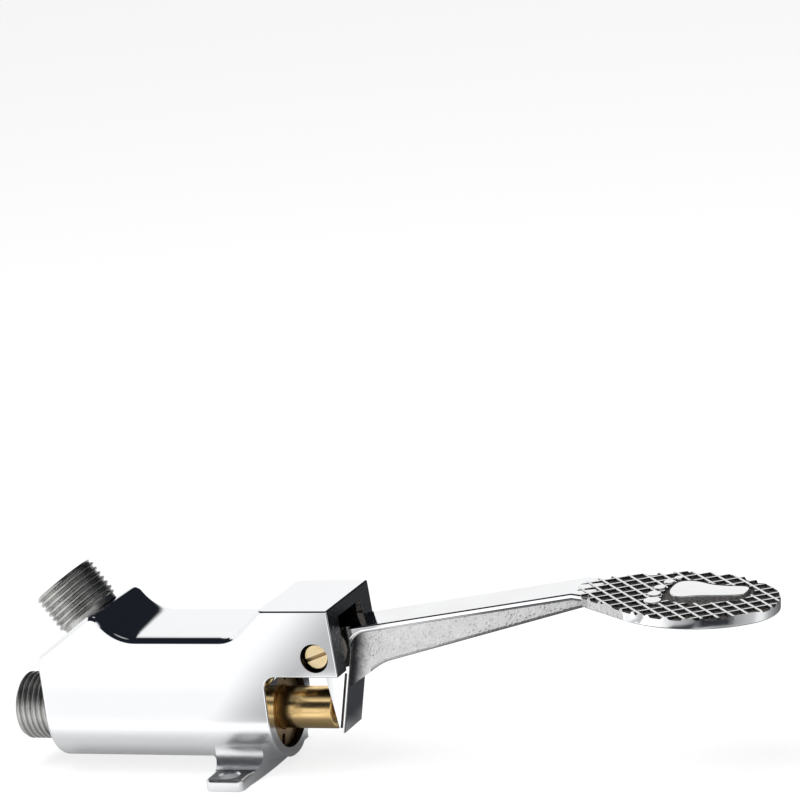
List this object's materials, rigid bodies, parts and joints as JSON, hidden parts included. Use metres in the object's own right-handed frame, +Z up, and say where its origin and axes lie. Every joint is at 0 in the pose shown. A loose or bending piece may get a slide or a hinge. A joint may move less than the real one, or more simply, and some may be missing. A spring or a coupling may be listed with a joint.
{
  "type": "foot pedal tap valve",
  "caption": "Floor-mounted self-closing foot valve: plated casting with threaded inlet and slanted outlet, and a hinged arm with an oval treaded pedal that pushes a brass plunger.",
  "frame": {"origin": "on the underside of the foot, midway between the two screw holes", "axes": "+X along the barrel towards the pedal, +Z up from the floor, Y across the valve along the pivot pin"},
  "size_m": [0.2485, 0.052, 0.0653],
  "materials": {
    "plated_casting": "polished chrome plate on a brass casting",
    "plated_lever": "chrome plate, polished on top and left as cast on the web",
    "nickel": "nickel-plated thread",
    "brass": "turned brass",
    "rubber": "moulded rubber",
    "spring_steel": "stainless spring wire",
    "nylon": "moulded nylon",
    "fibre": "pressed fibre"
  },
  "bodies": {
    "body": {"valve_body": "plated_casting", "inlet_nipple": "nickel", "inlet_gasket": "fibre", "outlet_nipple": "nickel", "outlet_gasket": "fibre", "valve_seat": "brass", "gland_nut": "brass", "gland_washer": "brass", "gland_o_ring_outer": "rubber", "gland_o_ring_inner": "rubber", "seal_spacer": "brass", "return_spring": "spring_steel", "pivot_pin": "brass", "hub_washer_front": "nylon", "hub_washer_rear": "nylon"},
    "pedal": {"pedal_lever": "plated_lever", "pivot_bush": "nylon"},
    "plunger_set": {"plunger": "brass", "poppet_washer": "rubber", "poppet_holder": "brass", "poppet_nut": "brass"}
  },
  "joints": [
    {"name": "pedal_hinge", "type": "hinge", "parent": "body", "child": "pedal", "pos_m": [0.0309, 0, 0.0391], "axis": [0, 1, 0], "range_deg": [0, 11], "stiffness_Nm_per_rad": 2, "springref_deg": -22.92},
    {"name": "plunger_slide", "type": "slide", "parent": "body", "child": "plunger_set", "axis": [-1, 0, 0], "range_m": [0, 0.0038], "deforming": ["return_spring"]}
  ],
  "couplings": [
    {"joint": "plunger_slide", "follows": "pedal_hinge", "m_per_rad": 0.0197}
  ]
}
